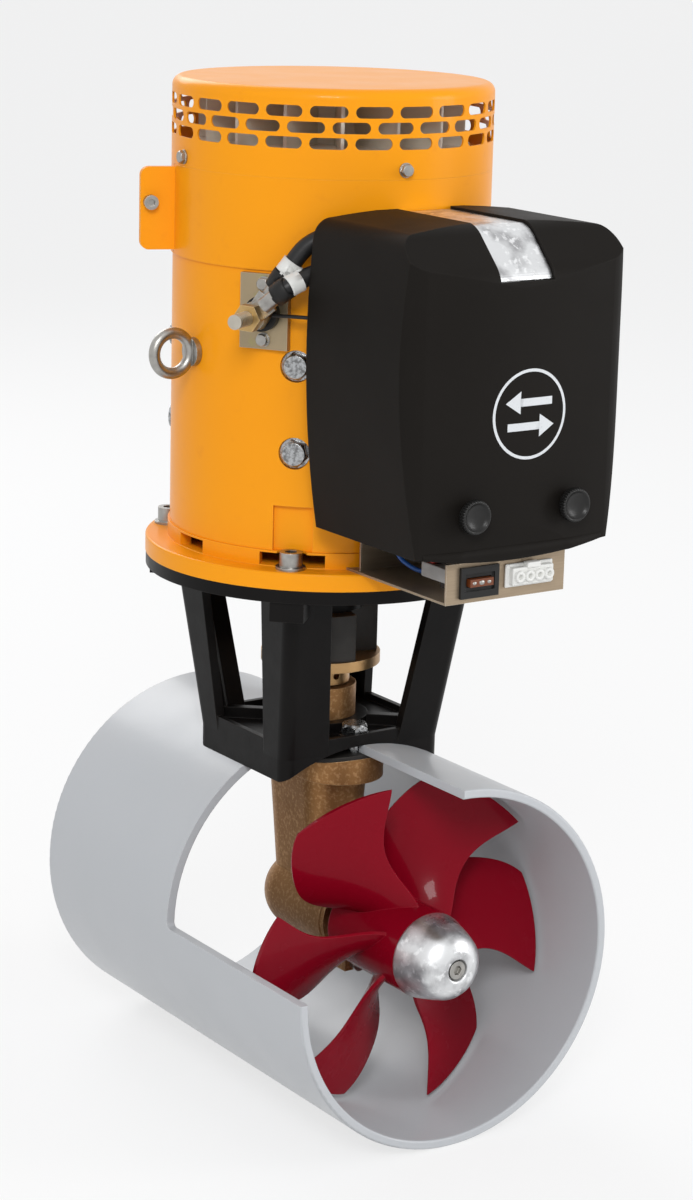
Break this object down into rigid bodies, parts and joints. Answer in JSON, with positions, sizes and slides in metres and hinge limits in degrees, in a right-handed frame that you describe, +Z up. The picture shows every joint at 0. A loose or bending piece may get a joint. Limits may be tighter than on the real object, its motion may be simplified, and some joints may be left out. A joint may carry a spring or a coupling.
{
  "type": "bow thruster",
  "caption": "Electric bow thruster: orange motor with slotted fan cap on a black cast bracket, bronze gear leg and six-blade propeller in a cut-away length of tunnel, with a black control box.",
  "frame": {"origin": "where the motor and drive shaft axis meets the tunnel axis", "axes": "+Z up along the motor axis, Y along the tunnel with the propeller and control box towards -Y, +X to the right seen from the propeller"},
  "size_m": [0.2785, 0.4095, 0.7335],
  "materials": {
    "orange_paint": "gloss",
    "black_cast": "satin",
    "tunnel_grp": "satin",
    "bronze": "cast",
    "crimson": "gloss",
    "zinc": "satin",
    "steel": "satin",
    "passivated": "satin",
    "machined": "machined",
    "copper": "lacquered",
    "iron": "rough",
    "rubber": "matte",
    "cover_plastic": "matte",
    "black_plastic": "matte",
    "fan_plastic": "matte",
    "white_plastic": "satin",
    "fuse_plastic": "gloss",
    "cable_black": "matte",
    "blue_pvc": "satin"
  },
  "bodies": {
    "frame": {"tunnel": "tunnel_grp", "bracket_frame": "black_cast", "leg_gasket": "rubber", "gear_leg": "bronze", "bearing_carrier": "bronze", "base_bolts": "steel", "carrier_screw": "machined", "leg_bearings": "machined", "prop_bearings": "machined", "shaft_seals": "rubber", "motor_flange": "orange_paint", "flange_bolts": "steel", "motor_body": "orange_paint", "pole_shoes": "iron", "field_coils": "copper", "pole_bolts": "steel", "upper_end_shield": "orange_paint", "motor_bearings": "machined", "brush_holders": "steel", "brushes": "rubber", "cover_band": "orange_paint", "band_screw": "steel", "fan_cover": "orange_paint", "cap_screws": "steel", "lifting_eye": "steel", "terminal_plate": "passivated", "terminal_screws": "steel", "terminal_insulator": "black_plastic", "terminal_stud": "passivated", "terminal_nuts": "passivated", "cable_lugs": "steel", "power_cables": "cable_black", "sense_wire": "cable_black", "blue_wire": "blue_pvc", "control_tray": "passivated", "tray_screws": "steel", "cover_studs": "steel", "contactors": "black_plastic", "fuse_holder": "black_plastic", "control_connector": "white_plastic"},
    "rotor": {"motor_shaft": "machined", "armature": "iron", "commutator": "copper", "fan": "fan_plastic", "coupling_driver": "black_cast", "coupling_element": "rubber", "coupling_flange": "bronze", "drive_shaft": "machined", "drive_pinion": "machined"},
    "propeller": {"propeller": "crimson", "prop_shaft": "machined", "crown_gear": "machined", "drive_pin": "machined", "nose_cone": "zinc", "nose_screw": "steel"},
    "cover": {"control_cover": "cover_plastic", "cover_plate": "zinc"},
    "knob_left": {"knob_left": "black_plastic"},
    "knob_right": {"knob_right": "black_plastic"},
    "fuse": {"blade_fuse": "fuse_plastic"}
  },
  "joints": [
    {"name": "rotor_spin", "type": "hinge", "parent": "frame", "child": "rotor", "pos_m": [0, 0, 0.4], "axis": [0, 0, 1], "continuous": true},
    {"name": "propeller_spin", "type": "hinge", "parent": "frame", "child": "propeller", "pos_m": [0, -0.1, 0], "axis": [0, 1, 0], "continuous": true},
    {"name": "cover_slide", "type": "slide", "parent": "frame", "child": "cover", "axis": [0, -1, 0], "range_m": [0, 0.15]},
    {"name": "knob_left_turn", "type": "hinge", "parent": "cover", "child": "knob_left", "pos_m": [-0.041, -0.232, 0.339], "axis": [0, -1, 0], "range_deg": [0, 720]},
    {"name": "knob_right_turn", "type": "hinge", "parent": "cover", "child": "knob_right", "pos_m": [0.041, -0.232, 0.339], "axis": [0, -1, 0], "range_deg": [0, 720]},
    {"name": "fuse_pull", "type": "slide", "parent": "frame", "child": "fuse", "axis": [0, -1, 0], "range_m": [0, 0.02]}
  ],
  "couplings": [
    {"joint": "propeller_spin", "follows": "rotor_spin", "ratio": 0.58333}
  ]
}
